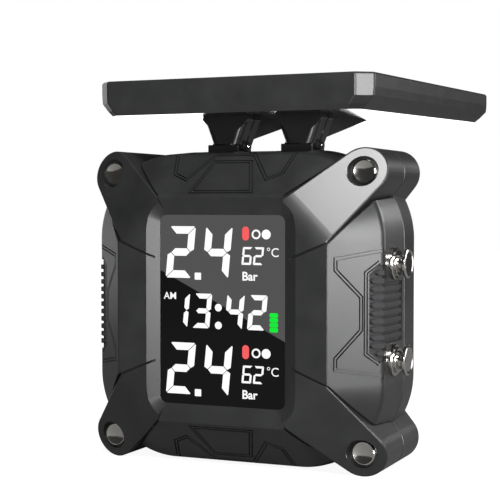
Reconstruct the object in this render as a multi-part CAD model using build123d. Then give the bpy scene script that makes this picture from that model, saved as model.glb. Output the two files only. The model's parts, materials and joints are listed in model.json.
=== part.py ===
from build123d import *
import os
from math import atan2, cos, degrees, hypot, radians, sin, tan

# Tyre pressure monitor for a handlebar, with a solar panel on two hinged legs. Millimetres.
# X points to the viewer's right, Y points to the back and Z points up. The origin is the centre of the
# rear mounting face, and the display faces -Y.

# ---------- driving dimensions ----------
WALL = 2.0                  # housing wall
PAD_Y = 0.0                 # rear mounting face
COVER_Y = -1.2              # rear skin of the cover
SEAM_Y = -12.0              # parting plane of the two shells
BAND_Y = -22.7              # where the side band meets the 45-degree slopes
FRAME_Y = -31.0             # front of the display frame
GLASS_Y = -29.9             # front of the display window
HALF_REAR = 31.6            # half size of the housing at the rear skin
HALF_SEAM = 32.2            # half size at the parting plane
HALF_BAND = 31.4            # half size at the front of the band
HALF_FRAME = 22.7           # half size of the frame front
FLAT = 14.0                 # half length of each straight side
CREASE_R = 2.0              # rounding between band and slope
EDGE_R = 0.4                # rounding of the frame and strap edges
SEAM_BEVEL = 0.22           # bevel on both lips of the parting line
LUG = 27.5                  # lug centre, out from the middle in X and in Z
LUG_R = 4.7
LUG_Y = -24.5               # front of a lug at its centre
STRAP_FALL = 25.0           # degrees that a strap falls towards its lug
STRAP_BEND_R = 12.0
GROOVE = 0.45               # width of the dark groove beside each strap
WINDOW = (27.2, 38.0)       # visible glass
RECESS = (32.4, 44.6)       # outer edge of the sloped display recess
BUTTON_Y = -17.8
BUTTON_Z = 9.55
BUTTON_TRAVEL = 0.7
PIVOT_Y = -6.15             # panel hinge axis
PIVOT_Z = 33.5
LEG_X = 8.4
LEG_DEPTH = 7.3
LEG_FOOT_Z = 33.9
LEG_COLLAR_Z = 39.2         # where the leg is widest, just below the panel
FIN_TIP_Y = 32.0            # where the gusset behind a leg meets the panel
FIN_HALF = 1.3
LEAD_R = 0.5                # bore for the supply lead
PANEL = (60.0, 97.0, 7.1)   # width, depth and thickness
PANEL_FRONT_Y = -27.4
PANEL_FRONT_Z = 39.35       # underside at the front edge
PANEL_RISE = 1.55           # degrees, rear edge up
BOARD_FRONT_Y = -21.6
BOARD_REAR_Y = -20.0
FOOT_PAD_Z = 32.25          # flat on the cover under each hinge foot
FOOT_INNER_Z = 30.2         # inner face of the top wall under the feet
FIT = 0.05                  # radial clearance of running fits


# ---------- helpers ----------
def at_depth(y):
    """Plane square to Y at depth y, with X and Z as its own x and y."""
    return Plane.XZ.offset(-y)


def plate(outline, front, rear):
    """A flat outline in X and Z, solid from depth front to depth rear."""
    return extrude(at_depth(rear) * outline, rear - front)


def tapered(outline, start, end, grow):
    """An outline at depth start, carried to depth end while its edge moves out by grow."""
    length = start - end
    angle = degrees(atan2(-grow, abs(length)))
    return extrude(at_depth(start) * outline, length, taper=angle)


def rounded(half, radius):
    return RectangleRounded(2 * half, 2 * half, radius)


def rod(axis_point, direction, length, radius):
    """A round bar from a point along a direction."""
    return extrude(Plane(origin=axis_point, z_dir=direction) * Circle(radius), length)


def along_x(y, z, start, end, radius):
    return rod((start, y, z), (1, 0, 0), end - start, radius)


def turned(points, y, z):
    """A body of revolution about an axis along X, from (x, radius) points."""
    face = make_face(Polyline(*[(x, r) for x, r in points], close=True))
    return Pos(0, y, z) * revolve(face, Axis.X)


def box(x, y, z):
    """A box from three (low, high) pairs."""
    size = [high - low for low, high in (x, y, z)]
    centre = [(high + low) / 2 for low, high in (x, y, z)]
    return Pos(*centre) * Box(*size)


def joined(solids):
    total = solids[0]
    for solid in solids[1:]:
        total = total + solid
    return total


# ---------- housing outline ----------
def housing_front(inset=0.0):
    """Band and slopes as one block, with every face moved inwards by inset."""
    band_tilt = atan2(HALF_SEAM - HALF_BAND, SEAM_Y - BAND_Y)
    slope_tilt = atan2(HALF_BAND - HALF_FRAME, BAND_Y - FRAME_Y)
    front = FRAME_Y + inset
    seam_half = HALF_SEAM - inset / cos(band_tilt)
    # The depth where the moved band face meets the moved slope face.
    band_at_frame = seam_half - (SEAM_Y - front) * tan(band_tilt)
    frame_half = HALF_FRAME - inset / cos(slope_tilt) + inset * tan(slope_tilt)
    meet = front + (band_at_frame - frame_half) / (tan(slope_tilt) - tan(band_tilt))
    meet_half = seam_half - (SEAM_Y - meet) * tan(band_tilt)
    band = tapered(rounded(seam_half, seam_half - FLAT), SEAM_Y, meet, meet_half - seam_half)
    slope = tapered(rounded(meet_half, meet_half - FLAT), meet, front, frame_half - meet_half)
    block = band + slope
    if inset == 0.0:
        crease = block.edges().filter_by_position(Axis.Y, BAND_Y - 0.01, BAND_Y + 0.01)
        block = fillet(crease, CREASE_R)
        block = fillet(block.faces().sort_by(Axis.Y)[0].edges(), EDGE_R)
    return block


def housing_rear(inset=0.0):
    rear = COVER_Y - inset
    narrow = (HALF_SEAM - HALF_REAR) * (rear - SEAM_Y) / (COVER_Y - SEAM_Y)
    half = HALF_SEAM - inset
    block = extrude(at_depth(SEAM_Y) * rounded(half, half - FLAT), SEAM_Y - rear,
                    taper=degrees(atan2(narrow, rear - SEAM_Y)))
    edge = block.edges().filter_by_position(Axis.Y, rear - 0.01, rear + 0.01)
    return fillet(edge, 3.0 - inset)


def lug_outline(grow=0.0):
    """Plan of one diagonal strap: from the frame's corner out to the lug circle."""
    half = HALF_FRAME
    root = make_hull(
        Polyline((FLAT, half), (half, FLAT), (8.0, 8.0), close=True).edges()
        + (Pos(LUG, LUG) * Circle(LUG_R)).edges())
    return offset(root, grow) if grow else root


def on_diagonal(edge):
    """True for an edge that crosses the strap from side to side."""
    ends = edge.vertices()
    return len(ends) == 2 and abs(ends[0].X - ends[1].Z) + abs(ends[0].Z - ends[1].X) < 0.01 \
        and edge.center().X + edge.center().Z < 2 * LUG


def strap_block():
    """Everything below one strap's top face: flat at the frame and falling to the lug."""
    reach = LUG * 2 ** 0.5
    bend = reach - (LUG_Y - FRAME_Y) / tan(radians(STRAP_FALL))
    tip = reach + 8.0
    side = Polyline((0.0, FRAME_Y), (bend, FRAME_Y), (tip, LUG_Y + (tip - reach) * tan(radians(STRAP_FALL))),
                    (tip, SEAM_Y), (0.0, SEAM_Y), close=True)
    profile = make_face(side)
    corner = profile.vertices().sort_by_distance(Vector(bend, FRAME_Y, 0))[0]
    profile = fillet(corner, STRAP_BEND_R)
    # The profile is drawn in (distance out, Y) and stood up along the diagonal.
    stand = Plane(origin=(0, 0, 0), x_dir=(1, 0, 1), z_dir=(-1, 0, 1))
    return extrude(stand * profile, 14.0, both=True)


def strap():
    body = strap_block() & plate(lug_outline(), FRAME_Y - 1, SEAM_Y)
    tops = body.faces().filter_by(lambda f: f.normal_at().Y < -0.8)
    rim = [e for e in tops.edges() if e.length > 1 and min(e.center().X, e.center().Z) > 13.5
           and not on_diagonal(e)]
    return fillet(rim, EDGE_R)


def four_corners(shape):
    return [shape, shape.mirror(Plane.YZ), shape.mirror(Plane.XY), shape.mirror(Plane.YZ).mirror(Plane.XY)]


# ---------- front shell ----------
def slope_plane():
    """Plane of the right-hand slope: x runs outwards from the frame edge, y is Z."""
    run = HALF_BAND - HALF_FRAME
    fall = BAND_Y - FRAME_Y
    return Plane(origin=(HALF_FRAME, FRAME_Y, 0), x_dir=(run, fall, 0), z_dir=(fall, -run, 0))


SLOPE = hypot(HALF_BAND - HALF_FRAME, BAND_Y - FRAME_Y)
LINE_WIDTH = 0.9            # over both grooves of a line
LINE_RIDGE = 0.3            # width left standing between them
LINE_DEPTH = 0.5


def engraving(points, close=False):
    """A pair of fine grooves along points (distance out from the frame edge, along the side)."""
    path = Polyline(*points, close=close).edges()
    stroke = trace(path, LINE_WIDTH) - trace(path, LINE_RIDGE)
    return extrude(slope_plane() * stroke, amount=-LINE_DEPTH) + extrude(slope_plane() * stroke, amount=1.0)


def side_engraving():
    """Hourglass line beside each grip."""
    half = [(SLOPE, 12.3), (1.7, 10.7), (1.7, 8.5), (7.1, 3.2)]
    return engraving(half + [(s, -z) for s, z in reversed(half)])


def grip_border():
    """Line round the front of the grip recess."""
    half = [(SLOPE - 1.0, 9.9), (8.1, 7.9)]
    return engraving(half + [(s, -z) for s, z in reversed(half)])


def top_engraving():
    """Trapezoid and the broken line beyond it."""
    trapezoid = engraving([(1.2, 6.5), (9.6, 4.0), (9.6, -4.0), (1.2, -6.5)], close=True)
    half = [(SLOPE, 13.0), (6.2, 11.7), (4.6, 8.7), (SLOPE - 0.4, 4.2)]
    return trapezoid + engraving(half + [(s, -z) for s, z in reversed(half)])


def skin_points(depth):
    """Section of the right-hand slope and band in X and Y, moved inwards by depth."""
    slope_tilt = atan2(HALF_BAND - HALF_FRAME, BAND_Y - FRAME_Y)
    band_tilt = atan2(HALF_SEAM - HALF_BAND, SEAM_Y - BAND_Y)
    start = (HALF_FRAME - depth * cos(slope_tilt), FRAME_Y + depth * sin(slope_tilt))
    end = (HALF_SEAM - depth * cos(band_tilt), SEAM_Y + depth * sin(band_tilt))
    # Where the two moved lines meet.
    gap_x = end[0] - start[0]
    gap_y = end[1] - start[1]
    turn = sin(slope_tilt - band_tilt)
    reach = (gap_x * cos(band_tilt) - gap_y * sin(band_tilt)) / turn
    bend = (start[0] + reach * sin(slope_tilt), start[1] + reach * cos(slope_tilt))
    return [start, bend, end]


def skin_layer(outer, inner, z_low, z_high):
    """Slab that follows the right-hand slope and band between two depths."""
    points = skin_points(outer) + list(reversed(skin_points(inner)))
    face = make_face(Polyline(*points, close=True))
    return Pos(0, 0, z_low) * extrude(face, z_high - z_low)


GRIP_DEPTH = 0.9
GRIP_FRONT_Y = -24.9
GRIP_REAR_Y = -13.3
GRIP_STEP_Y = -21.6
RIB_PITCH = 1.57
RIB_WIDTH = 0.95
PAD_SINK = 0.45             # floor between the ribs, below the skin
RIB_SINK = -0.02            # rib tops, just proud of the skin


def grip_outline(shrink=0.0):
    """Side view of the grip recess, in Y and Z: wide on the slope, narrow between the buttons."""
    half = [(GRIP_FRONT_Y, 7.6), (-23.4, 9.4), (GRIP_STEP_Y, 9.4), (GRIP_STEP_Y, 6.0), (GRIP_REAR_Y, 6.0)]
    outline = make_face(Polyline(*(half + [(y, -z) for y, z in reversed(half)]), close=True))
    if shrink:
        outline = offset(outline, -shrink, kind=Kind.INTERSECTION)
    return extrude(Plane.YZ.offset(20) * outline, 20)


def grip_pocket():
    return skin_layer(-1.0, GRIP_DEPTH, -12, 12) & grip_outline()


def side_grip():
    """Ribbed insert: a thin pad with rounded ribs over slope and band."""
    pad = skin_layer(PAD_SINK, GRIP_DEPTH, -12, 12) & grip_outline(0.05)
    ribs = []
    for step in range(-5, 6):
        z = step * RIB_PITCH
        on_band = abs(step) <= 3
        front = GRIP_FRONT_Y + 0.4 + max(0.0, abs(z) + RIB_WIDTH / 2 - 7.4) * 0.85
        rear = GRIP_REAR_Y - 0.5 if on_band else GRIP_STEP_Y - 0.15
        slot = SlotOverall(rear - front, RIB_WIDTH)
        reach = extrude(Plane.YZ.offset(20) * (Pos((front + rear) / 2, z) * slot), 20)
        ribs.append(skin_layer(RIB_SINK, PAD_SINK + 0.01, z - 1, z + 1) & reach)
    return joined([pad] + ribs)


def button_ports(radius, start=26.0, end=36.0):
    return [along_x(BUTTON_Y, side * BUTTON_Z, start, end, radius) for side in (1, -1)]


BOSS = (21.5, 18.0)         # board screw bosses in X and Z
COLLAR_STEM_R = 2.4
COUNTERBORE_R = 2.95
COUNTERBORE_Y = -22.7
PLUG_R = 2.35
PLUG_FRONT = -23.6
PLUG_REAR = -21.7
DISH_R = 5.6                # hollow in the face of each plug
DISH_DEPTH = 0.4
CASE_SCREW_R = 1.25
SCREW_TIP_Y = -20.6
SEAL = (30.7, 31.3)         # perimeter seal, inner and outer half size


def ring(inner, outer, front, rear):
    return plate(rounded(outer, outer - FLAT) - rounded(inner, inner - FLAT), front, rear)


def front_shell():
    outer = housing_front()
    # The block is cut down to the straps, and a little further in the groove that runs round them.
    below_strap = strap_block() & housing_front(0.7)
    around_strap = plate(lug_outline(GROOVE), FRAME_Y - 1, SEAM_Y - 0.5)
    outer = outer - joined(four_corners(around_strap - below_strap))
    outer = joined([outer] + four_corners(strap()))
    shell = outer - housing_front(WALL)
    shell = shell + joined(four_corners(
        plate(Pos(*BOSS) * Circle(2.5), FRAME_Y + 3.2, BOARD_FRONT_Y) & housing_front(0.5)))
    # Display recess, window seat and viewing opening.
    wide = at_depth(FRAME_Y) * RectangleRounded(*RECESS, 4.0)
    floor = at_depth(GLASS_Y) * RectangleRounded(*WINDOW, 1.5)
    shell = shell - loft([wide, floor], ruled=True)
    shell = shell - plate(RectangleRounded(*WINDOW, 1.5), GLASS_Y, GLASS_Y + 0.9)
    shell = shell - plate(RectangleRounded(WINDOW[0] - 2.0, WINDOW[1] - 2.0, 1.0), GLASS_Y, GLASS_Y + 4)
    # Engraved lines, two slopes of each kind.
    sides = side_engraving() + grip_border()
    ends = Rot(0, -90, 0) * top_engraving()
    shell = shell - sides - (Rot(0, 180, 0) * sides) - ends - (Rot(0, 180, 0) * ends)
    # Grip recesses and button bores.
    pocket = grip_pocket()
    shell = shell - pocket - (Rot(0, 180, 0) * pocket)
    shell = shell - joined(button_ports(COLLAR_STEM_R))
    for side in (1, -1):
        shell = shell - along_x(BUTTON_Y, side * BUTTON_Z, 31.45, 36.0, 3.25)
    # Lug bores: a counterbore in front, the plug pocket, and the screw pilot behind.
    rim = plate(Pos(LUG, LUG) * Circle(COUNTERBORE_R), LUG_Y - 4, COUNTERBORE_Y)
    bore = plate(Pos(LUG, LUG) * Circle(PLUG_R), LUG_Y - 4, PLUG_REAR)
    pilot = plate(Pos(LUG, LUG) * Circle(CASE_SCREW_R), SCREW_TIP_Y, SEAM_Y)
    shell = shell - joined(four_corners(rim)) - joined(four_corners(bore)) - joined(four_corners(pilot))
    # Board screw pilots and the seal groove.
    pilots = four_corners(plate(Pos(*BOSS) * Circle(1.0), BOARD_FRONT_Y - 4.0, BOARD_FRONT_Y))
    shell = shell - joined(pilots)
    shell = shell - ring(SEAL[0], SEAL[1], SEAM_Y - 0.6, SEAM_Y)
    seam = shell.faces().sort_by(Axis.Y)[-1].outer_wire()
    return chamfer(seam.edges(), SEAM_BEVEL)


# ---------- rear cover ----------
INSERT = 14.0               # mounting inserts, out from the middle in X and Z
INSERT_R = 3.0
INSERT_DEPTH = 5.0
SEAT_Y = -6.4               # front of the insert bosses, where the cell is taped


def foot_places(shape):
    return [Pos(side * LEG_X, 0, 0) * shape for side in (-1, 1)]


def rear_cover():
    outer = housing_rear()
    lugs = four_corners(plate(lug_outline(), SEAM_Y, COVER_Y))
    outer = joined([outer] + lugs)
    pads = foot_places(box((-4.3, 4.3), (PIVOT_Y - 5.1, PIVOT_Y + 4.0), (HALF_REAR - 2.0, FOOT_PAD_Z)))
    outer = joined([outer] + pads + [plate(rounded(20.0, 5.0), COVER_Y - 1.0, PAD_Y)])
    cover = outer - housing_rear(WALL)
    bosses = four_corners(plate(Pos(INSERT, INSERT) * Circle(4.4), SEAT_Y, COVER_Y - 1.0))
    cover = joined([cover] + bosses)
    holes = four_corners(plate(Pos(INSERT, INSERT) * Circle(INSERT_R), -INSERT_DEPTH, PAD_Y + 1))
    cover = cover - joined(holes)
    shafts = four_corners(plate(Pos(LUG, LUG) * Circle(CASE_SCREW_R), SEAM_Y - 1, COVER_Y + 1))
    heads = four_corners(plate(Pos(LUG, LUG) * Circle(2.6), COVER_Y - 2.6, COVER_Y + 1))
    cover = cover - joined(shafts) - joined(heads)
    slots = foot_places(box((-2.4, 2.4), (PIVOT_Y - 2.0, PIVOT_Y + 2.0), (28.0, 33.0)))
    seats = foot_places(box((-4.2, 4.2), (PIVOT_Y - 2.6, PIVOT_Y + 2.6), (28.0, FOOT_INNER_Z)))
    cover = cover - joined(slots) - joined(seats)
    seam = cover.faces().sort_by(Axis.Y)[0].outer_wire()
    return chamfer(seam.edges(), SEAM_BEVEL)


def perimeter_seal():
    return ring(SEAL[0], SEAL[1], SEAM_Y - 0.6, SEAM_Y)


def corner_plugs():
    """Polished studs with a dished face that close the lug bores."""
    stud = plate(Pos(LUG, LUG) * Circle(PLUG_R), PLUG_FRONT, PLUG_REAR)
    rim = stud.edges().filter_by(GeomType.CIRCLE).sort_by(Axis.Y)[0]
    dish = Pos(LUG, PLUG_FRONT - DISH_R + DISH_DEPTH, LUG) * Sphere(DISH_R)
    return joined(four_corners(chamfer(rim, 0.15) - dish))


def case_screws():
    """Pan-head screws from the back through the cover into the front lugs."""
    shank = plate(Pos(LUG, LUG) * Circle(CASE_SCREW_R), SCREW_TIP_Y, COVER_Y - 2.6)
    head = plate(Pos(LUG, LUG) * Circle(2.4), COVER_Y - 2.6, COVER_Y - 0.9)
    socket = plate(Pos(LUG, LUG) * RegularPolygon(1.15, 6), COVER_Y - 1.9, COVER_Y)
    edge = head.edges().filter_by(GeomType.CIRCLE).sort_by(Axis.Y)[-1]
    return joined(four_corners(shank + fillet(edge, 0.5) - socket))


def mounting_inserts():
    """Threaded brass bushes for the handlebar bracket."""
    bush = plate(Pos(INSERT, INSERT) * (Circle(INSERT_R) - Circle(2.0)), -INSERT_DEPTH, PAD_Y)
    return joined(four_corners(bush))


# ---------- display stack ----------
def display_window():
    return plate(RectangleRounded(WINDOW[0], WINDOW[1], 1.5), GLASS_Y, GLASS_Y + 0.7)


def window_gasket():
    outer = RectangleRounded(WINDOW[0], WINDOW[1], 1.5)
    inner = RectangleRounded(WINDOW[0] - 2.0, WINDOW[1] - 2.0, 1.0)
    return plate(outer - inner, GLASS_Y + 0.7, GLASS_Y + 0.9)


LCD = (30.0, 41.0)
LCD_FRONT = -27.8
LCD_REAR = -26.0
LIGHT_REAR = -23.8
HOLDER_REAR = -23.2
STRIP_Z = (-20.3, -18.7)


def lcd_panel():
    front = plate(Rectangle(*LCD), LCD_FRONT, LCD_FRONT + 0.9)
    return front + plate(Pos(0, 1.0) * Rectangle(LCD[0], LCD[1] - 2.0), LCD_FRONT + 0.9, LCD_REAR)


def lcd_backlight():
    guide = plate(Pos(0, 1.5) * Rectangle(LCD[0] - 0.4, 37.0), LCD_REAR, LIGHT_REAR)
    return guide + plate(Pos(0, 20.3) * Rectangle(12.0, 0.6), LCD_REAR + 0.4, LIGHT_REAR)


def lcd_holder():
    frame = plate(Rectangle(33.6, 44.2) - Rectangle(LCD[0] + 0.1, LCD[1] + 0.3), LCD_FRONT, HOLDER_REAR)
    bar = box((-16.0, 16.0), (LIGHT_REAR, HOLDER_REAR), (14.0, 17.0))
    feet = [box((x - 1.2, x + 1.2), (HOLDER_REAR, BOARD_FRONT_Y), (z - 1.2, z + 1.2))
            for x in (-15.6, 15.6) for z in (-20.6, 20.6)]
    return joined([frame, bar] + feet)


def lcd_connector_strip():
    return box((-13.0, 13.0), (LCD_REAR, BOARD_FRONT_Y), STRIP_Z)


# ---------- electronics ----------
BOARD = (52.0, 50.0)
CHIP = (5.5, -8.5)          # middle of the controller chip


def main_board():
    outline = chamfer(Rectangle(*BOARD).vertices(), 8.5)
    holes = Sketch() + [Pos(x, z) * Circle(1.0) for x in (-BOSS[0], BOSS[0]) for z in (-BOSS[1], BOSS[1])]
    return plate(outline - holes, BOARD_FRONT_Y, BOARD_REAR_Y)


def board_screws():
    shank = plate(Pos(*BOSS) * Circle(1.0), BOARD_FRONT_Y - 4.0, BOARD_REAR_Y)
    head = plate(Pos(*BOSS) * Circle(1.9), BOARD_REAR_Y, BOARD_REAR_Y + 1.2)
    slot = Pos(BOSS[0], BOARD_REAR_Y + 1.4, BOSS[1]) * Box(2.8, 1.4, 0.5)
    return joined(four_corners(shank + head - slot))


def rf_shield():
    """Folded can over the radio, open towards the board."""
    can = box((-16.0, 2.0), (BOARD_REAR_Y, BOARD_REAR_Y + 2.4), (-2.0, 12.0))
    can = fillet(can.edges().filter_by(Axis.Y), 1.0)
    return can - box((-15.7, 1.7), (BOARD_REAR_Y - 1, BOARD_REAR_Y + 2.1), (-1.7, 11.7))


def radio_chip():
    return box((-10.0, -4.0), (BOARD_REAR_Y, BOARD_REAR_Y + 1.0), (2.0, 8.0))


def controller_chip():
    body = Pos(CHIP[0], BOARD_REAR_Y + 0.6, CHIP[1]) * Box(7.0, 1.2, 7.0)
    return chamfer(body.edges().group_by(Axis.Y)[-1], 0.3)


def buzzer():
    can = plate(Pos(-13.0, -12.0) * Circle(4.5), BOARD_REAR_Y, BOARD_REAR_Y + 4.2)
    can = fillet(can.edges().filter_by(GeomType.CIRCLE).sort_by(Axis.Y)[-1], 0.5)
    return can - plate(Pos(-13.0, -12.0) * Circle(0.8), BOARD_REAR_Y + 3.4, BOARD_REAR_Y + 5)


def antenna_coil():
    """Helical aerial that lies along the top edge of the board."""
    path = Plane(origin=(-9.0, BOARD_REAR_Y + 2.6, 19.5), z_dir=(1, 0, 0)) * Helix(1.8, 18.0, 2.0)
    wire = sweep((path ^ 0) * Circle(0.4), path, is_frenet=True)
    return wire


def battery_cell():
    cell = box((-20.0, 20.0), (SEAT_Y - 5.2, SEAT_Y - 0.2), (-15.0, 15.0))
    return fillet(cell.edges(), 1.0)


def battery_tape():
    return box((-17.0, 17.0), (SEAT_Y - 0.2, SEAT_Y), (-13.0, 13.0))


def battery_connector():
    shell = box((8.0, 14.0), (BOARD_REAR_Y, BOARD_REAR_Y + 3.0), (-22.0, -17.5))
    return shell - box((8.8, 13.2), (BOARD_REAR_Y + 1.0, BOARD_REAR_Y + 4), (-21.4, -18.1))


# ---------- buttons ----------
COLLAR_TOP = 33.0
COLLAR_INNER = 27.5
COLLAR_BORE = 1.85
ROD_R = 0.9
ROD_END = 26.6
SHOULDER = 30.6
PLUNGER_GAP = 0.02


def button_collar(z):
    """Flanged bush through the side wall, with a spring seat at its inner end."""
    outer = turned([(COLLAR_INNER, 0), (COLLAR_INNER, COLLAR_STEM_R), (31.45, COLLAR_STEM_R), (31.45, 3.2),
                    (32.25, 3.2), (32.45, 3.0), (32.45, 2.6), (32.85, 2.6), (COLLAR_TOP, 2.45),
                    (COLLAR_TOP, 0)], BUTTON_Y, z)
    bore = along_x(BUTTON_Y, z, COLLAR_INNER + 0.5, 34.0, COLLAR_BORE)
    return outer - bore - along_x(BUTTON_Y, z, COLLAR_INNER - 1, 29.0, ROD_R + FIT)


def button_nuts():
    nuts = [Pos(27.8, BUTTON_Y, side * BUTTON_Z) * Rot(0, 90, 0) * extrude(RegularPolygon(3.6, 6), 1.4)
            for side in (1, -1)]
    return joined(nuts) - joined(button_ports(COLLAR_STEM_R))


def push_button(z):
    """Mushroom cap, conical neck, seal groove and guide rod in one turned piece."""
    neck = COLLAR_BORE - FIT
    clip_groove = [(27.0, ROD_R), (27.0, 0.6), (27.4, 0.6), (27.4, ROD_R)]
    seal_groove = [(31.2, neck), (31.2, 1.15), (32.1, 1.15), (32.1, neck)]
    cap = [(33.75, neck), (34.2, 2.7), (34.35, 2.95), (34.7, 3.0), (34.9, 2.85), (35.0, 2.6),
           (34.9, 2.2), (34.9, 0)]
    profile = [(ROD_END, 0), (ROD_END, ROD_R), *clip_groove, (SHOULDER, ROD_R), (SHOULDER, neck),
               *seal_groove, *cap]
    return turned(profile, BUTTON_Y, z)


def button_seal(z):
    return Pos(31.65, BUTTON_Y, z) * Rot(0, 90, 0) * Torus(1.5, 0.33)


def return_spring(z):
    """Coil between the collar's inner seat and the shoulder of the button."""
    length = SHOULDER - COLLAR_INNER - 0.5 - 0.32
    path = Plane(origin=(COLLAR_INNER + 0.66, BUTTON_Y, z), z_dir=(1, 0, 0)) * Helix(0.55, length, 1.36)
    return sweep((path ^ 0) * Circle(0.14), path, is_frenet=True)


def retaining_clip(z):
    ring_face = Circle(1.7) - Circle(0.62) - Pos(1.3, 0) * Rectangle(2.2, 0.9)
    return Pos(27.02, BUTTON_Y, z) * Rot(0, 90, 0) * extrude(ring_face, 0.36)


def side_switch(z):
    body = box((21.4, 25.4), (BOARD_REAR_Y, BUTTON_Y + 2.2), (z - 3.0, z + 3.0))
    return body - along_x(BUTTON_Y, z, 22.0, 26.0, 1.0 + FIT)


def switch_plunger(z):
    return along_x(BUTTON_Y, z, 23.0, ROD_END - PLUNGER_GAP, 1.0)


# ---------- panel bracket ----------
KNUCKLE_R = 1.0
PIN_R = 0.6
KNUCKLE = (0.95, 3.1)       # each half knuckle, out from the middle of the leg
EAR = (3.4, 4.1)            # each ear of a foot
BASE_HALF = 3.4
FOOT_TOP = 32.45
LIP = (-10.9, -10.15)       # front wall of a foot, in Y
LIP_TOP_Z = 33.75


def foot(x):
    """Hinge foot: a plug through the cover, a low base, two ears and a front lip."""
    plug = box((-2.4, 2.4), (PIVOT_Y - 2.0, PIVOT_Y + 2.0), (FOOT_INNER_Z, FOOT_PAD_Z))
    base = box((-BASE_HALF, BASE_HALF), (LIP[0], PIVOT_Y + 3.3), (FOOT_PAD_Z, FOOT_TOP))
    lip = box((-BASE_HALF, BASE_HALF), LIP, (FOOT_PAD_Z, LIP_TOP_Z))
    lip = fillet(lip.edges().filter_by(Axis.X).group_by(Axis.Z)[-1], 0.3)
    solids = [plug, base, lip]
    for side in (-1, 1):
        near, far = sorted((side * EAR[0], side * EAR[1]))
        solids.append(along_x(PIVOT_Y, PIVOT_Z, near, far, KNUCKLE_R))
        solids.append(box((near, far), (PIVOT_Y - KNUCKLE_R, PIVOT_Y + KNUCKLE_R), (FOOT_PAD_Z, PIVOT_Z)))
    body = joined(solids) - along_x(PIVOT_Y, PIVOT_Z, -6, 6, PIN_R)
    body = body - rod((0, PIVOT_Y, 28), (0, 0, 1), 6, LEAD_R)
    screw_holes = [rod((0, PIVOT_Y + dy, 28), (0, 0, 1), 4.0, 0.6) for dy in (-1.4, 1.4)]
    return Pos(x, 0, 0) * (body - joined(screw_holes))


def foot_plates():
    """Clamping plates inside the cover."""
    bar = box((-4.2, 4.2), (PIVOT_Y - 2.6, PIVOT_Y + 2.6), (FOOT_INNER_Z - 0.8, FOOT_INNER_Z))
    bar = bar - rod((0, PIVOT_Y, 28), (0, 0, 1), 6, LEAD_R)
    bar = bar - joined([rod((0, PIVOT_Y + dy, 28), (0, 0, 1), 6, 0.6) for dy in (-1.4, 1.4)])
    return joined(foot_places(bar))


def foot_screws():
    top = FOOT_INNER_Z - 0.8
    pair = []
    for dy in (-1.4, 1.4):
        shank = rod((0, PIVOT_Y + dy, top), (0, 0, 1), 32.0 - top, 0.6)
        pair.append(shank + rod((0, PIVOT_Y + dy, top - 0.7), (0, 0, 1), 0.7, 0.85))
    return joined(foot_places(joined(pair)))


def hinge_pins():
    """Short headed pins, one from each side of each foot."""
    pin = turned([(KNUCKLE[0] + 0.1, 0), (KNUCKLE[0] + 0.1, PIN_R), (EAR[1], PIN_R), (EAR[1], 0.85),
                  (EAR[1] + 0.2, 0.75), (EAR[1] + 0.25, 0)], PIVOT_Y, PIVOT_Z)
    return joined(foot_places(pin + pin.mirror(Plane.YZ)))


def friction_washers():
    washer = along_x(PIVOT_Y, PIVOT_Z, KNUCKLE[1] + 0.03, EAR[0], KNUCKLE_R - 0.05) - along_x(
        PIVOT_Y, PIVOT_Z, 0, 6, PIN_R)
    return joined(foot_places(washer + washer.mirror(Plane.YZ)))


def leg(x):
    """Tapered leg with a side groove, a gusset behind it and the hinge knuckles below."""
    collar_half = 5.3
    waist_half = 5.0
    foot_half = 3.1
    head_z = 41.0
    front = PIVOT_Y - LEG_DEPTH / 2
    rear = PIVOT_Y + LEG_DEPTH / 2
    right = [(foot_half, LEG_FOOT_Z), (waist_half, LEG_COLLAR_Z - 0.3), (collar_half, LEG_COLLAR_Z),
             (waist_half - 0.3, head_z)]
    side = Polyline(*(right + [(-px, pz) for px, pz in reversed(right)]), close=True)
    block = plate(Plane.XY * make_face(side), front, rear)
    corners = block.edges().filter_by(lambda e: e.center().Y < front + 0.1 and abs(e.center().X) > 3.4
                                      and 3.0 < e.length < 7.0)
    block = fillet(corners, 1.5)
    lean = degrees(atan2(waist_half - foot_half, LEG_COLLAR_Z - 0.3 - LEG_FOOT_Z))
    for side_sign in (-1, 1):
        groove = Pos(0, front + 4.0, 0) * Box(2.0, 0.7, 30)
        place = Pos(side_sign * (waist_half + foot_half) / 2, 0, (LEG_FOOT_Z + LEG_COLLAR_Z - 0.3) / 2)
        block = block - place * Rot(0, side_sign * lean, 0) * groove
    gusset = make_face(Polyline((rear - 1.5, 34.3), (rear, 34.5), (FIN_TIP_Y, head_z), (rear - 1.5, head_z),
                                close=True))
    block = block + extrude(Plane.YZ * gusset, FIN_HALF, both=True)
    knuckle = along_x(PIVOT_Y, PIVOT_Z, -KNUCKLE[1], KNUCKLE[1], KNUCKLE_R)
    neck = box((-KNUCKLE[1], KNUCKLE[1]), (-KNUCKLE_R, KNUCKLE_R), (PIVOT_Z, LEG_FOOT_Z + 0.3))
    block = block + knuckle + Pos(0, PIVOT_Y, 0) * neck
    block = block - box((-KNUCKLE[0], KNUCKLE[0]), (PIVOT_Y - 2, PIVOT_Y + 2), (31, LEG_FOOT_Z + 0.6))
    block = block - along_x(PIVOT_Y, PIVOT_Z, -6, 6, PIN_R + FIT)
    for near, far in ((-6.0, -KNUCKLE[1]), (KNUCKLE[1], 6.0)):
        block = block - along_x(PIVOT_Y, PIVOT_Z, near, far, KNUCKLE_R + 0.15)
    block = block - rod((0, PIVOT_Y, 33), (0, 0, 1), 12, LEAD_R)
    under_panel = tilted(Pos(0, 0, -25) * Box(200, 200, 50))
    block = block & under_panel
    screw_holes = [rod((dx, PIVOT_Y, 36), (0, 0, 1), 8, 0.8) for dx in (-3.0, 3.0)]
    return Pos(x, 0, 0) * (block - joined(screw_holes))


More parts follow.
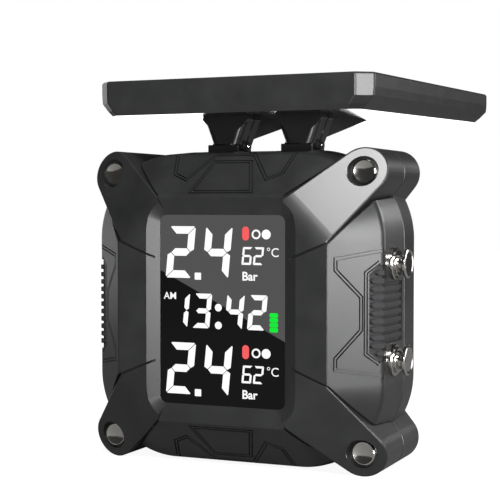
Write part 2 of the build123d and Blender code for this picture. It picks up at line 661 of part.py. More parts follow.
def tilted(shape):
    """Puts a shape drawn with the panel's underside at z = 0 and its front edge at y = 0 in place."""
    return Pos(0, PANEL_FRONT_Y, PANEL_FRONT_Z) * Rot(PANEL_RISE, 0, 0) * shape


# ---------- solar panel ----------
RIM = 1.5
GLASS_T = 1.0
CELL_T = 0.35
BACKER_T = 1.2
FLOOR = 1.8
CELL_FLOOR = PANEL[2] - GLASS_T - CELL_T - BACKER_T
BAND_Z = 4.3                # lower edge of the upright band
CREASE_Z = 2.6              # crease between the flank and the lower bevel
TURN_Z = 1.0                # where the front edge turns under
CORNER = 3.0                # bevel across each corner of the band
CELL_ROWS = 6
CELL_EDGE = 4.6             # from the panel's edge to the first row of cells
LEG_SCREW_X = 3.0


def panel_outline(z, inset, front_inset, corner):
    """The panel's outline at one height: straight sides and wide corner bevels with softened edges."""
    width = PANEL[0] - 2 * inset
    depth = PANEL[1] - inset - front_inset
    outline = Pos(0, front_inset + depth / 2) * Rectangle(width, depth)
    outline = chamfer(outline.vertices(), corner)
    return Plane.XY.offset(z) * fillet(outline.vertices(), 0.8)


def panel_prism(inset, low, high):
    """Upright block whose outline follows the panel's edge at a distance, round the corners as well."""
    corner = CORNER - inset * (2.0 - 2.0 ** 0.5)
    return extrude(panel_outline(low, inset, inset, corner), high - low)


def panel_tray():
    """Deep tray: an upright band with bevelled corners; its sides taper below and its front hardly does."""
    levels = [panel_outline(0.0, 2.6, 0.4, 2.4), panel_outline(TURN_Z, 1.5, 0.08, 2.7),
              panel_outline(CREASE_Z, 0.15, 0.0, 2.9), panel_outline(BAND_Z, 0.0, 0.0, CORNER)]
    body = extrude(levels[-1], PANEL[2] - BAND_Z)
    for lower, upper in zip(levels, levels[1:]):
        body = body + loft([lower, upper], ruled=True)
    body = chamfer(body.faces().sort_by(Axis.Z)[-1].edges(), 0.4)
    body = body - panel_prism(RIM, PANEL[2] - GLASS_T, PANEL[2] + 1)
    body = body - panel_prism(RIM + 1.0, CREASE_Z + 0.9, PANEL[2])
    body = body - panel_prism(RIM + 2.6, FLOOR, PANEL[2])
    rail = (CELL_EDGE + 1.4, PANEL[1] - CELL_EDGE - 1.4)
    rails = [box((x - 0.8, x + 0.8), rail, (FLOOR, CELL_FLOOR)) for x in (-22.0, 22.0)]
    tray = tilted(joined([body] + rails))
    for x in (-LEG_X, LEG_X):
        tray = tray - rod((x, PIVOT_Y, 38), (0, 0, 1), 8, LEAD_R)
        for dx in (-LEG_SCREW_X, LEG_SCREW_X):
            tray = tray - rod((x + dx, PIVOT_Y, 38), (0, 0, 1), 8, 0.8)
    return tray


def panel_glass():
    """Top glass, flush with the rim of the tray."""
    glass = panel_prism(RIM, PANEL[2] - GLASS_T, PANEL[2])
    return tilted(chamfer(glass.faces().sort_by(Axis.Z)[-1].edges(), 0.2))


def cell_board():
    return tilted(panel_prism(RIM + 1.2, CELL_FLOOR, CELL_FLOOR + BACKER_T))


def solar_cells():
    """Two strings of cells on the board."""
    low = CELL_FLOOR + BACKER_T
    pitch = (PANEL[1] - 2 * CELL_EDGE) / CELL_ROWS
    cells = []
    for column in (-1, 1):
        for row in range(CELL_ROWS):
            start = CELL_EDGE + pitch * row
            cells.append(box((column * 13.6 - 13.0, column * 13.6 + 13.0), (start + 0.3, start + pitch - 0.3),
                             (low, low + CELL_T)))
    return tilted(joined(cells))


def leg_screws():
    """Screws from inside the tray down into the legs."""
    top = PANEL_FRONT_Z + (PIVOT_Y - PANEL_FRONT_Y) * tan(radians(PANEL_RISE)) + FLOOR
    one = []
    for leg_x in (-LEG_X, LEG_X):
        for dx in (-LEG_SCREW_X, LEG_SCREW_X):
            shank = rod((leg_x + dx, PIVOT_Y, 36.0), (0, 0, 1), top - 36.0 + 0.05, 0.8)
            one.append(shank + rod((leg_x + dx, PIVOT_Y, top + 0.05), (0, 0, 1), 1.0, 1.5))
    return joined(one)


LEAD_JOIN = 0.2             # half the space between the two halves of the lead, on the hinge axis


def panel_lead():
    """Supply lead in the right leg, from the cell board to the hinge axis."""
    bottom_of_board = PANEL_FRONT_Z + (PIVOT_Y - PANEL_FRONT_Y) * tan(radians(PANEL_RISE)) + CELL_FLOOR - 0.05
    start = PIVOT_Z + LEAD_JOIN
    return rod((LEG_X, PIVOT_Y, start), (0, 0, 1), bottom_of_board - start, LEAD_R - 0.1)


def housing_lead():
    """The same lead from the hinge axis into the housing."""
    start = 27.0
    return rod((LEG_X, PIVOT_Y, start), (0, 0, 1), PIVOT_Z - LEAD_JOIN - start, LEAD_R - 0.1)


# ---------- build ----------
NODES = {
    "front_shell": front_shell(),
    "rear_cover": rear_cover(),
    "perimeter_seal": perimeter_seal(),
    "corner_plugs": corner_plugs(),
    "case_screws": case_screws(),
    "mounting_inserts": mounting_inserts(),
    "grip_right": side_grip(),
    "grip_left": Rot(0, 180, 0) * side_grip(),
    "display_window": display_window(),
    "window_gasket": window_gasket(),
    "lcd_panel": lcd_panel(),
    "lcd_backlight": lcd_backlight(),
    "lcd_holder": lcd_holder(),
    "lcd_connector_strip": lcd_connector_strip(),
    "main_board": main_board(),
    "board_screws": board_screws(),
    "rf_shield": rf_shield(),
    "radio_chip": radio_chip(),
    "controller_chip": controller_chip(),
    "buzzer": buzzer(),
    "antenna_coil": antenna_coil(),
    "battery_cell": battery_cell(),
    "battery_tape": battery_tape(),
    "battery_connector": battery_connector(),
    "button_nuts": button_nuts(),
    "foot_left": foot(-LEG_X),
    "foot_right": foot(LEG_X),
    "foot_plates": foot_plates(),
    "foot_screws": foot_screws(),
    "hinge_pins": hinge_pins(),
    "friction_washers": friction_washers(),
    "leg_left": leg(-LEG_X),
    "leg_right": leg(LEG_X),
    "leg_screws": leg_screws(),
    "panel_tray": panel_tray(),
    "panel_glass": panel_glass(),
    "cell_board": cell_board(),
    "solar_cells": solar_cells(),
    "panel_lead": panel_lead(),
    "housing_lead": housing_lead(),
}
for level, height in (("upper", BUTTON_Z), ("lower", -BUTTON_Z)):
    NODES[f"button_collar_{level}"] = button_collar(height)
    NODES[f"button_{level}"] = push_button(height)
    NODES[f"button_seal_{level}"] = button_seal(height)
    NODES[f"return_spring_{level}"] = return_spring(height)
    NODES[f"retaining_clip_{level}"] = retaining_clip(height)
    NODES[f"side_switch_{level}"] = side_switch(height)
    NODES[f"switch_plunger_{level}"] = switch_plunger(height)

os.makedirs("parts", exist_ok=True)
for name, shape in NODES.items():
    export_step(shape, f"parts/{name}.step")
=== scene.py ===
import json
from math import cos, pi, radians, sin

import bpy
from mathutils import Euler, Matrix, Vector


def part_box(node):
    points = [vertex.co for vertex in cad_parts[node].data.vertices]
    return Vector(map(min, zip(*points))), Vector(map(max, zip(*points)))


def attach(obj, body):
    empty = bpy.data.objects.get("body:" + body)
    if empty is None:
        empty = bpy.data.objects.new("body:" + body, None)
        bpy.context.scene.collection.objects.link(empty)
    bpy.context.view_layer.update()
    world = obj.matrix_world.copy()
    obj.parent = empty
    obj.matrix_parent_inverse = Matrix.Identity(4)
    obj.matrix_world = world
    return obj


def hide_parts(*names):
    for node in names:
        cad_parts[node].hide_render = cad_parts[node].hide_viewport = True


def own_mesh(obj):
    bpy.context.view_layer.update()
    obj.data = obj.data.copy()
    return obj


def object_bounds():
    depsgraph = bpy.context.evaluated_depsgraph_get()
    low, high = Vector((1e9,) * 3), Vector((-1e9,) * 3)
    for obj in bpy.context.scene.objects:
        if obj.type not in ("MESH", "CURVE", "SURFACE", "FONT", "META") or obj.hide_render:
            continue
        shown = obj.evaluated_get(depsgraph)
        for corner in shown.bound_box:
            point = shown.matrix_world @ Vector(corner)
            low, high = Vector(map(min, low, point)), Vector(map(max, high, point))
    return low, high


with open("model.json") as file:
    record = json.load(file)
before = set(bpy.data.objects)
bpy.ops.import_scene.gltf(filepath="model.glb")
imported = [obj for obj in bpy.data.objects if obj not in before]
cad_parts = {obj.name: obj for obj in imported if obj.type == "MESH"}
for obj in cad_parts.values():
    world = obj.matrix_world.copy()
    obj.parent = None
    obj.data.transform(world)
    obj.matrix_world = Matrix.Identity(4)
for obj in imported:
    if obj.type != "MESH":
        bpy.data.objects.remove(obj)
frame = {"nodes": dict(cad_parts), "record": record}
cad_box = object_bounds()

MM = 0.001
nodes = frame["nodes"]


# ---------- places taken from the frame ----------
def low(name):
    return Vector(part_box(name)[0])


def high(name):
    return Vector(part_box(name)[1])


floor_z = Vector(cad_box[0]).z
glass_low, glass_high = low("display_window"), high("display_window")


# ---------- shader helpers ----------
NOISE_ROUGHNESS = 0.55


class Shader:
    """A material under construction: nodes by short calls, links by name."""

    def __init__(self, name):
        self.material = bpy.data.materials.new(name)
        self.material.use_nodes = True
        self.tree = self.material.node_tree
        self.bsdf = self.tree.nodes["Principled BSDF"]

    def node(self, kind, **values):
        made = self.tree.nodes.new(kind)
        for key, value in values.items():
            if key in made.inputs:
                made.inputs[key].default_value = value
            else:
                setattr(made, key, value)
        return made

    def link(self, source, output, target, entry):
        self.tree.links.new(source.outputs[output], target.inputs[entry])

    def set(self, **values):
        for key, value in values.items():
            self.bsdf.inputs[key.replace("_", " ")].default_value = value
        return self

    def place(self):
        """Object coordinates: the row frame in metres."""
        if not hasattr(self, "coordinates"):
            self.coordinates = self.node("ShaderNodeTexCoord")
        return self.coordinates

    def parts(self, output="Object"):
        """X, Y and Z of the place, or of the surface's own normal."""
        made = self.node("ShaderNodeSeparateXYZ")
        self.link(self.place(), output, made, "Vector")
        return made

    def noise(self, scale, detail):
        made = self.node("ShaderNodeTexNoise", Scale=scale, Detail=detail, Roughness=NOISE_ROUGHNESS)
        self.link(self.place(), "Object", made, "Vector")
        return made

    def math(self, operation, source, output, other):
        """One Math node: an output of one node with a number, or with (node, output) of another."""
        made = self.node("ShaderNodeMath", operation=operation)
        self.link(source, output, made, 0)
        if isinstance(other, tuple):
            self.link(*other, made, 1)
        else:
            made.inputs[1].default_value = other
        return made

    def ramp(self, source, output, stops):
        made = self.node("ShaderNodeValToRGB")
        elements = made.color_ramp.elements
        while len(elements) < len(stops):
            elements.new(0.5)
        for element, (position, colour) in zip(elements, stops):
            element.position = position
            element.color = colour
        self.link(source, output, made, "Fac")
        return made

    def spread(self, source, output, lowest, highest, start=0.0, end=1.0):
        """Maps start..end of a value to lowest..highest."""
        made = self.node("ShaderNodeMapRange")
        made.inputs["From Min"].default_value = start
        made.inputs["From Max"].default_value = end
        made.inputs["To Min"].default_value = lowest
        made.inputs["To Max"].default_value = highest
        self.link(source, output, made, "Value")
        return made

    def bump(self, source, output, strength, distance):
        made = self.node("ShaderNodeBump", Strength=strength, Distance=distance)
        self.link(source, output, made, "Height")
        self.link(made, "Normal", self.bsdf, "Normal")
        return made


# ---------- materials ----------
def grey(value):
    return (value, value, value, 1.0)


def tinted(rgb, factor=1.0):
    return (*(channel * factor for channel in rgb), 1.0)


GRAIN = 5200.0              # scale of the spark-eroded grain
GRAIN_STRENGTH = 0.3
GRAIN_DEPTH = 0.004 * MM
UNDERSIDE_GLOSS = 0.3       # share of the roughness and grain left on a polished underside
FACES_DOWN = (-0.999, -0.97)    # the normal's Z where the gloss is full, and where it ends


def moulded_plastic(name, rgb, roughness, shine=0.5, grain_depth=GRAIN_DEPTH, glossy_below=False):
    """Moulded plastic: faint mottling, uneven gloss and a fine spark-eroded grain."""
    shader = Shader(name)
    mottle = shader.noise(180.0, 4.0)
    colour = shader.ramp(mottle, "Fac", [(0.3, tinted(rgb, 0.82)), (0.7, tinted(rgb, 1.15))])
    shader.link(colour, "Color", shader.bsdf, "Base Color")
    gloss = shader.noise(90.0, 2.0)
    rough = shader.spread(gloss, "Fac", roughness - 0.04, roughness + 0.04)
    shader.link(rough, "Result", shader.bsdf, "Roughness")
    relief = shader.bump(shader.noise(GRAIN, 1.0), "Fac", GRAIN_STRENGTH, grain_depth)
    shader.set(IOR=1.5, Specular_IOR_Level=shine)
    if glossy_below:
        matt = shader.spread(shader.parts("Normal"), "Z", UNDERSIDE_GLOSS, 1.0, *FACES_DOWN)
        roughness_there = shader.math("MULTIPLY", matt, "Result", (rough, "Result"))
        shader.link(roughness_there, "Value", shader.bsdf, "Roughness")
        grain_there = shader.math("MULTIPLY", matt, "Result", GRAIN_STRENGTH)
        shader.link(grain_there, "Value", relief, "Strength")
    return shader.material


def polished_metal(name, rgb, roughness):
    """Plated metal with faint turning marks."""
    shader = Shader(name)
    haze = shader.noise(900.0, 3.0)
    colour = shader.ramp(haze, "Fac", [(0.35, tinted(rgb, 0.94)), (0.65, tinted(rgb, 1.0))])
    shader.link(colour, "Color", shader.bsdf, "Base Color")
    rough = shader.spread(shader.noise(600.0, 4.0), "Fac", roughness * 0.7, roughness * 1.3)
    shader.link(rough, "Result", shader.bsdf, "Roughness")
    shader.bump(shader.noise(2500.0, 2.0), "Fac", 0.06, 0.01 * MM)
    shader.set(Metallic=1.0)
    return shader.material


def rubber(name, rgb):
    """Matt rubber with a fine, deep grain."""
    shader = Shader(name)
    mottle = shader.noise(700.0, 3.0)
    colour = shader.ramp(mottle, "Fac", [(0.3, tinted(rgb, 0.8)), (0.7, tinted(rgb, 1.2))])
    shader.link(colour, "Color", shader.bsdf, "Base Color")
    rough = shader.spread(mottle, "Fac", 0.5, 0.66)
    shader.link(rough, "Result", shader.bsdf, "Roughness")
    shader.bump(shader.noise(6000.0, 3.0), "Fac", 0.4, 0.02 * MM)
    shader.set(Specular_IOR_Level=0.22)
    return shader.material


def glow(name, rgb, strength):
    """A lit segment: emission that is a little uneven across it."""
    shader = Shader(name)
    uneven = shader.noise(500.0, 2.0)
    colour = shader.ramp(uneven, "Fac", [(0.3, tinted(rgb, 0.93)), (0.7, tinted(rgb, 1.0))])
    shader.link(colour, "Color", shader.bsdf, "Emission Color")
    shader.set(Base_Color=grey(0.0), Roughness=0.5, Specular_IOR_Level=0.1, Emission_Strength=strength)
    return shader.material


def clear_glass(name):
    """Clear glass with a trace of smears."""
    shader = Shader(name)
    smear = shader.spread(shader.noise(60.0, 4.0), "Fac", 0.01, 0.04)
    shader.link(smear, "Result", shader.bsdf, "Roughness")
    shader.set(Base_Color=(0.97, 0.98, 0.99, 1.0), Transmission_Weight=1.0, IOR=1.45)
    return shader.material


PAINTED_REFLECTION_SLOPE = 0.5           # fall of the painted reflection's edge across the display, per unit of width
PAINTED_REFLECTION_EDGE_Z = 1.1 * MM     # height of that edge on the display's centre line
PAINTED_REFLECTION_BLUR = 0.04 * MM      # half the edge's softness


def display_face_material():
    """Black glossy display with a painted reflection: emitted grey above a slanting edge, near-black
    emission below it.
    """
    shader = Shader("display_black")
    split = shader.parts()
    fall = shader.math("MULTIPLY_ADD", split, "X", PAINTED_REFLECTION_SLOPE)
    shader.link(split, "Z", fall, 2)
    edge = shader.spread(fall, "Value", 0.0, 1.0, PAINTED_REFLECTION_EDGE_Z - PAINTED_REFLECTION_BLUR, PAINTED_REFLECTION_EDGE_Z + PAINTED_REFLECTION_BLUR)
    # painted reflection: the grey above the slanting edge is emitted light that stands in for a reflection
    colour = shader.ramp(edge, "Result", [(0.0, grey(0.0024)), (1.0, grey(0.082))])
    shader.link(colour, "Color", shader.bsdf, "Emission Color")
    shader.set(Base_Color=grey(0.002), Roughness=0.12, Specular_IOR_Level=0.12, Emission_Strength=1.0)
    return shader.material


FINGERS = ("Y", 1.3 * MM, 0.1 * MM)     # axis that the lines cross, their pitch and width
BUSBARS = ("X", 8.8 * MM, 0.7 * MM)


def solar_cell_material():
    """Near-black silicon with fine silver fingers along X and busbars along Y."""
    shader = Shader("silicon_cells")
    split = shader.parts()

    def stripes(axis, pitch, width):
        scaled = shader.math("DIVIDE", split, axis, pitch)
        part = shader.node("ShaderNodeMath", operation="FRACT")
        shader.link(scaled, "Value", part, 0)
        return shader.math("LESS_THAN", part, "Value", width / pitch)

    silver = shader.math("MAXIMUM", stripes(*FINGERS), "Value", (stripes(*BUSBARS), "Value"))
    crystal = shader.node("ShaderNodeTexVoronoi", Scale=260.0)
    shader.link(shader.place(), "Object", crystal, "Vector")
    silicon = shader.ramp(crystal, "Distance", [(0.0, (0.006, 0.010, 0.035, 1.0)),
                                                (1.0, (0.012, 0.02, 0.06, 1.0))])
    mix = shader.node("ShaderNodeMix", data_type="RGBA")
    shader.link(silver, "Value", mix, 0)
    colour_a, colour_b = (socket for socket in mix.inputs if socket.type == "RGBA")
    mixed = next(socket for socket in mix.outputs if socket.type == "RGBA")
    shader.tree.links.new(silicon.outputs["Color"], colour_a)
    colour_b.default_value = (0.35, 0.36, 0.38, 1.0)
    shader.tree.links.new(mixed, shader.bsdf.inputs["Base Color"])
    shader.set(Roughness=0.25)
    return shader.material


def board_material():
    """Green solder mask over faintly raised tracks."""
    shader = Shader("board_laminate")
    tracks = shader.noise(300.0, 1.0)
    colour = shader.ramp(tracks, "Fac", [(0.48, (0.004, 0.05, 0.018, 1)), (0.52, (0.01, 0.09, 0.035, 1))])
    shader.link(colour, "Color", shader.bsdf, "Base Color")
    shader.bump(tracks, "Fac", 0.2, 0.03 * MM)
    shader.set(Roughness=0.3)
    return shader.material


MATERIALS = {
    "shell_plastic": moulded_plastic("shell_plastic", (0.0118, 0.012, 0.0124), 0.34, 0.42),
    "bracket_plastic": moulded_plastic("bracket_plastic", (0.009, 0.009, 0.0095), 0.3, 0.42),
    "panel_plastic": moulded_plastic("panel_plastic", (0.013, 0.0132, 0.0136), 0.3, 0.4,
                                     grain_depth=GRAIN_DEPTH / 2, glossy_below=True),
    "inner_plastic": moulded_plastic("inner_plastic", (0.04, 0.04, 0.04), 0.5),
    "light_guide": moulded_plastic("light_guide", (0.8, 0.8, 0.78), 0.3),
    "chip_resin": moulded_plastic("chip_resin", (0.03, 0.03, 0.032), 0.55),
    "nylon": moulded_plastic("nylon", (0.03, 0.03, 0.03), 0.45),
    "display_cell": moulded_plastic("display_cell", (0.01, 0.01, 0.011), 0.2),
    "grip_rubber": rubber("grip_rubber", (0.012, 0.012, 0.013)),
    "silicone": rubber("silicone", (0.06, 0.06, 0.065)),
    "adhesive": rubber("adhesive", (0.03, 0.03, 0.03)),
    "wire_jacket": rubber("wire_jacket", (0.02, 0.02, 0.02)),
    "chrome": polished_metal("chrome", (0.60, 0.58, 0.55), 0.12),
    "polished_steel": polished_metal("polished_steel", (0.68, 0.66, 0.62), 0.12),
    "screw_steel": polished_metal("screw_steel", (0.56, 0.56, 0.57), 0.28),
    "tin_plate": polished_metal("tin_plate", (0.68, 0.68, 0.66), 0.3),
    "brass": polished_metal("brass", (0.78, 0.57, 0.26), 0.25),
    "battery_foil": polished_metal("battery_foil", (0.68, 0.69, 0.7), 0.42),
    "window_glass": clear_glass("window_glass"),
    "panel_glass": clear_glass("panel_glass"),
    "silicon_cells": solar_cell_material(),
    "board_laminate": board_material(),
}
DISPLAY_MATERIALS = {
    "display_black": display_face_material(),
    "white_segment": glow("white_segment", (1.0, 1.0, 1.0), 1.08),
    "red_segment": glow("red_segment", (1.0, 0.12, 0.125), 1.0),
    "green_segment": glow("green_segment", (0.002, 0.88, 0.04), 1.0),
}


def paint_frame():
    """Gives every CAD node the material of its slot in the record."""
    for part in frame["record"]["subparts"]:
        mesh = nodes[part["node"]].data
        mesh.materials.clear()
        mesh.materials.append(MATERIALS[part["material_slot"]])


# ---------- mesh helpers ----------
def add_object(name, data):
    """A new object in the scene."""
    made = bpy.data.objects.new(name, data)
    bpy.context.scene.collection.objects.link(made)
    return made


def housing_piece(name, mesh):
    """An object that rides on the housing."""
    made = add_object(name, mesh)
    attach(made, "housing")
    return made


def display_piece(name, vertices, faces, material):
    """A solid mesh on the display."""
    mesh = bpy.data.meshes.new(name)
    mesh.from_pydata(vertices, [], faces)
    mesh.update()
    mesh.materials.append(DISPLAY_MATERIALS[material])
    return housing_piece(name, mesh)


def prism(outline, front, rear):
    """Vertices and faces of an (x, z) outline, solid from depth front to depth rear."""
    count = len(outline)
    vertices = [(x, front, z) for x, z in outline] + [(x, rear, z) for x, z in outline]
    faces = [tuple(range(count)), tuple(reversed(range(count, 2 * count)))]
    for here in range(count):
        there = (here + 1) % count
        faces.append((there, here, here + count, there + count))
    return vertices, faces


def merge(shapes):
    """Joins several (vertices, faces) into one."""
    vertices, faces = [], []
    for some_vertices, some_faces in shapes:
        start = len(vertices)
        vertices += some_vertices
        faces += [tuple(start + index for index in face) for face in some_faces]
    return vertices, faces


CORNER_STEPS = 8


def rounded_outline(width, height, radius):
    """A rounded rectangle round the origin; a radius just under half its width keeps every point apart."""
    points = []
    for turn, (sx, sz) in enumerate(((1, 1), (-1, 1), (-1, -1), (1, -1))):
        for step in range(CORNER_STEPS + 1):
            angle = (turn + step / CORNER_STEPS) * pi / 2
            points.append((sx * (width / 2 - radius) + radius * cos(angle),
                           sz * (height / 2 - radius) + radius * sin(angle)))
    return points


# ---------- display ----------
SEGMENTS = {"1": "bc", "2": "abged", "3": "abgcd", "4": "fgbc", "6": "afgedc"}    # lit bars of each digit
LEAN = 0.1                  # how far a digit leans to the right, per unit of height
UPPER_ROW = 6.35 * MM       # base line of each row, from the display's middle
CLOCK_ROW = -3.6 * MM
LOWER_ROW = -17.0 * MM
INK_PROUD = 0.02 * MM       # how far the lit marks stand off the display face
# Millimetres: a digit's width, height and bar, the pitch of the digits, and the gap between bars.
PRESSURE = (5.75, 10.35, 1.5, 8.05, 0.1)
TEMPERATURE = (2.05, 3.5, 0.42, 2.45, 0.03)
CLOCK = (3.75, 6.9, 1.0, 4.88, 0.07)
WHEEL_SIDES = 24
CAP_HEIGHT = 0.71           # height of a capital, per unit of font size


def bar_outline(letter, width, height, bar, gap):
    """One bar of a seven-segment digit in the digit's own upright box, with mitred ends."""
    blunt = bar * 0.22
    half, middle = bar / 2, height / 2
    top = [(gap + blunt, height), (width - gap - blunt, height),
           (width - gap - blunt / 2, height - blunt / 2), (width - bar - gap, height - bar),
           (bar + gap, height - bar), (gap + blunt / 2, height - blunt / 2)]
    upper_right = [(width - blunt / 2, height - gap - blunt / 2), (width, height - gap - blunt),
                   (width, middle + gap + half * 0.6), (width - half, middle + gap),
                   (width - bar, middle + gap + half), (width - bar, height - bar - gap)]
    across = [(half + gap, middle), (bar + gap, middle - half), (width - bar - gap, middle - half),
              (width - half - gap, middle), (width - bar - gap, middle + half), (bar + gap, middle + half)]
    outline = {"a": top, "d": top, "g": across}.get(letter, upper_right)
    if letter in "ef":
        outline = [(width - x, z) for x, z in outline]
    if letter in "cde":
        outline = [(x, height - z) for x, z in outline]
    return outline


def anticlockwise(outline):
    area = sum(x0 * z1 - x1 * z0 for (x0, z0), (x1, z1) in zip(outline, outline[1:] + outline[:1]))
    return outline if area > 0 else list(reversed(outline))


def digits(text, left, base, size):
    """Leaning outlines of every lit bar of a number."""
    width, height, bar, pitch, gap = (value * MM for value in size)
    return [anticlockwise([(left + place * pitch + x + z * LEAN, base + z)
                           for x, z in bar_outline(letter, width, height, bar, gap)])
            for place, character in enumerate(text) for letter in SEGMENTS[character]]


def moved(outline, x, z):
    return [(px + x, pz + z) for px, pz in outline]


def wheel_marks(x, z, radius):
    """Two wheels in line, the rear one filled: the wheel that a row reports."""
    shapes = []
    inner = radius * 0.64
    for step in range(WHEEL_SIDES):
        start, end = (2 * pi * (step + edge) / WHEEL_SIDES for edge in (0, 1))
        corners = ((inner, start), (radius, start), (radius, end), (inner, end))
        shapes.append([(x + reach * cos(angle), z + reach * sin(angle)) for reach, angle in corners])
    shapes.append(moved(rounded_outline(2 * radius, 2 * radius, radius * 0.999), x + 2.25 * radius, z))
    return shapes


def lettering(name, text, left, base, height, weight=0.0):
    """Plain unit lettering on the display face: base is in metres, the rest in millimetres."""
    curve = bpy.data.curves.new(name + "_curve", "FONT")
    curve.body = text
    curve.size = height * MM / CAP_HEIGHT
    curve.offset = weight * MM
    curve.extrude = INK_PROUD / 2
    curve.resolution_u = 4
    source = add_object(name + "_curve", curve)
    bpy.context.view_layer.update()
    mesh = bpy.data.meshes.new_from_object(source.evaluated_get(bpy.context.evaluated_depsgraph_get()))
    bpy.data.objects.remove(source)
    stand_up = Euler((pi / 2, 0, 0)).to_matrix().to_4x4()
    mesh.transform(Matrix.Translation((left * MM, glass_low.y - INK_PROUD / 2, base)) @ stand_up)
    mesh.name = name
    mesh.materials.clear()
    mesh.materials.append(DISPLAY_MATERIALS["white_segment"])
    housing_piece(name, mesh)


def lit(name, outlines, material):
    """Thin solid marks on the display face."""
    solids = [prism(outline, glass_low.y - INK_PROUD, glass_low.y) for outline in outlines]
    display_piece(name, *merge(solids), material)


def build_display():
    """Face of the display and everything that it shows."""
    width = glass_high.x - glass_low.x
    height = glass_high.z - glass_low.z
    trim = 0.04 * MM
    outline = rounded_outline(width - trim, height - trim, 1.5 * MM)
    # the display face carries the painted reflection of the display_black material
    face = display_piece("display_face", *prism(outline, glass_low.y, glass_high.y), "display_black")
    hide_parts("display_window")

    white, red = [], []
    point = rounded_outline(1.4 * MM, 1.4 * MM, 0.15 * MM)
    colon_dot = rounded_outline(1.5 * MM, 1.5 * MM, 0.749 * MM)
    pill = rounded_outline(1.45 * MM, 2.75 * MM, 0.72 * MM)
    for base in (UPPER_ROW, LOWER_ROW):
        white += digits("24", -12.35 * MM, base, PRESSURE)
        white.append(moved(point, -5.15 * MM, base + 0.4 * MM))
        white += digits("62", 4.35 * MM, base + 2.85 * MM, TEMPERATURE)
        white += wheel_marks(7.5 * MM, base + 8.85 * MM, 0.95 * MM)
        red.append(moved(pill, 5.25 * MM, base + 9.0 * MM))
    for left, text in ((-11.3 * MM, "13"), (0.66 * MM, "42")):
        white += digits(text, left, CLOCK_ROW, CLOCK)
    for up in (0.65 * MM, 4.2 * MM):
        white.append(moved(colon_dot, -0.65 * MM, CLOCK_ROW + up))
    lit("display_digits", white, "white_segment")
    lit("alert_marks", red, "red_segment")
    cell = rounded_outline(1.75 * MM, 0.88 * MM, 0.3 * MM)
    cells = [moved(cell, 11.25 * MM, CLOCK_ROW + (0.15 + 0.96 * level) * MM) for level in range(4)]
    lit("battery_mark", cells, "green_segment")
    for base, row in ((UPPER_ROW, "upper"), (LOWER_ROW, "lower")):
        lettering(f"unit_{row}", "Bar", 4.45, base - 0.2 * MM, 1.7, 0.05)
        lettering(f"degrees_{row}", "°C", 9.65, base + 4.5 * MM, 1.75)
    lettering("half_day", "AM", -12.75, CLOCK_ROW + 5.65 * MM, 1.4, 0.02)


def build_springs():
    """Return springs on the housing, as own copies in place of the CAD ones, which are hidden."""
    for level in ("upper", "lower"):
        name = f"return_spring_{level}"
        spring = housing_piece(f"coil_{level}", nodes[name].data.copy())
        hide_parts(name)
        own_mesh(spring)


# ---------- stage, lights and camera ----------
CAMERA_PLACE = Vector((110.1, -269.1, 21.1)) * MM
CAMERA_YAW = 23.48
CAMERA_PITCH = -1.97
LENS = 95.85
LIGHT_TARGET = Vector((0, -0.015, 0))
FILL = 0.042                # dim surroundings that light the object
FLOOR_NEAR, FLOOR_FAR = -0.35, 1.2
FLOOR_HALF = 0.27
FLOOR_GLOW = (0.93, 1.05)   # lifts the pale floor to the white of the surroundings, near and far
FLOOR_FADE = (0.06, 0.4)    # where it goes from one to the other


def floor_material():
    """Pale floor, seen as white as the surroundings, but dimmer in the object's reflections."""
    shader = Shader("floor_white")
    mottle = shader.noise(4.0, 2.0)
    colour = shader.ramp(mottle, "Fac", [(0.0, grey(0.15)), (1.0, grey(0.17))])
    shader.link(colour, "Color", shader.bsdf, "Base Color")
    glow_there = shader.spread(shader.parts(), "Y", *FLOOR_GLOW, *FLOOR_FADE)
    glow_there.interpolation_type = "SMOOTHSTEP"
    seen = shader.node("ShaderNodeLightPath")
    direct = shader.math("MULTIPLY", glow_there, "Result", (seen, "Is Camera Ray"))
    shader.link(direct, "Value", shader.bsdf, "Emission Strength")
    shader.set(Roughness=0.7, Specular_IOR_Level=0.1, Emission_Color=grey(1.0))
    return shader.material


def build_stage():
    """A plain pale floor that runs away from the viewer."""
    mesh = bpy.data.meshes.new("floor")
    corners = [(-FLOOR_HALF, FLOOR_NEAR, 0), (FLOOR_HALF, FLOOR_NEAR, 0),
               (FLOOR_HALF, FLOOR_FAR, 0), (-FLOOR_HALF, FLOOR_FAR, 0)]
    mesh.from_pydata(corners, [], [(0, 1, 2, 3)])
    mesh.materials.append(floor_material())
    floor = add_object("floor", mesh)
    floor.location.z = floor_z
    floor.rotation_euler.z = radians(CAMERA_YAW)


def soft_light(name, direction, distance, size, power):
    """A rectangular softbox that faces the object from a direction."""
    lamp = bpy.data.lights.new(name, "AREA")
    lamp.shape = "RECTANGLE"
    lamp.size, lamp.size_y = size
    lamp.energy = power
    made = add_object(name, lamp)
    made.location = LIGHT_TARGET + Vector(direction).normalized() * distance
    facing = (LIGHT_TARGET - made.location).to_track_quat("-Z", "Y")
    made.rotation_euler = facing.to_matrix().to_euler()


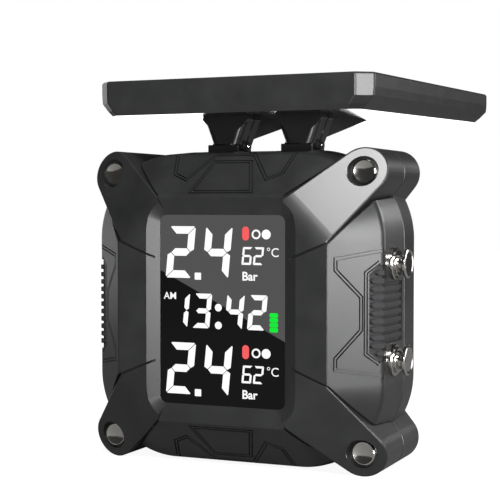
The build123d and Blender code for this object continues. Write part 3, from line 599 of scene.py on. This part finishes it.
def build_lights():
    """Each softbox is placed for the faces that it has to show in a highlight."""
    soft_light("strap_box", (0.36, -0.66, 0.68), 0.75, (0.24, 0.20), 10.5)
    soft_light("slope_box", (0.92, -0.36, 0.10), 0.7, (0.18, 0.30), 4.5)
    soft_light("recess_box", (0.45, -0.92, -0.02), 0.8, (0.10, 0.26), 6.5)
    soft_light("band_box", (0.58, 0.77, 0.30), 0.7, (0.10, 0.12), 0.8)
    soft_light("backdrop_box", (-0.37, 0.93, -0.03), 1.0, (0.46, 0.16), 0.6)
    soft_light("top_box", (0.3, 0.1, 1.0), 1.1, (0.5, 0.7), 1.0)
    soft_light("rear_box_right", (0.76, 0.65, 0.03), 0.8, (0.28, 0.5), 1.6)
    soft_light("rear_box_left", (-0.8, 0.6, 0.1), 0.8, (0.3, 0.5), 0.9)


def build_world():
    """Dim surroundings for reflections, and white where the viewer looks past the object."""
    world = bpy.data.worlds.new("studio")
    world.use_nodes = True
    tree = world.node_tree
    seen = tree.nodes.new("ShaderNodeLightPath")
    mix = tree.nodes.new("ShaderNodeMixShader")
    fill = tree.nodes["Background"]
    white = tree.nodes.new("ShaderNodeBackground")
    for background, strength in ((fill, FILL), (white, 1.0)):
        background.inputs["Color"].default_value = grey(1.0)
        background.inputs["Strength"].default_value = strength
    tree.links.new(seen.outputs["Is Camera Ray"], mix.inputs[0])
    tree.links.new(fill.outputs[0], mix.inputs[1])
    tree.links.new(white.outputs[0], mix.inputs[2])
    tree.links.new(mix.outputs[0], tree.nodes["World Output"].inputs["Surface"])
    bpy.context.scene.world = world


def build_view():
    """Plain colour response, so that greys come out as the materials say."""
    bpy.context.scene.view_settings.view_transform = "Standard"


def build_camera():
    data = bpy.data.cameras.new("camera")
    data.lens = LENS
    data.sensor_width = 36.0
    data.clip_start = 0.01
    made = add_object("camera", data)
    made.location = CAMERA_PLACE
    made.rotation_euler = (radians(90 + CAMERA_PITCH), 0, radians(CAMERA_YAW))
    bpy.context.scene.camera = made


build_view()
build_camera()
build_stage()
build_lights()
build_world()
paint_frame()
build_display()
build_springs()
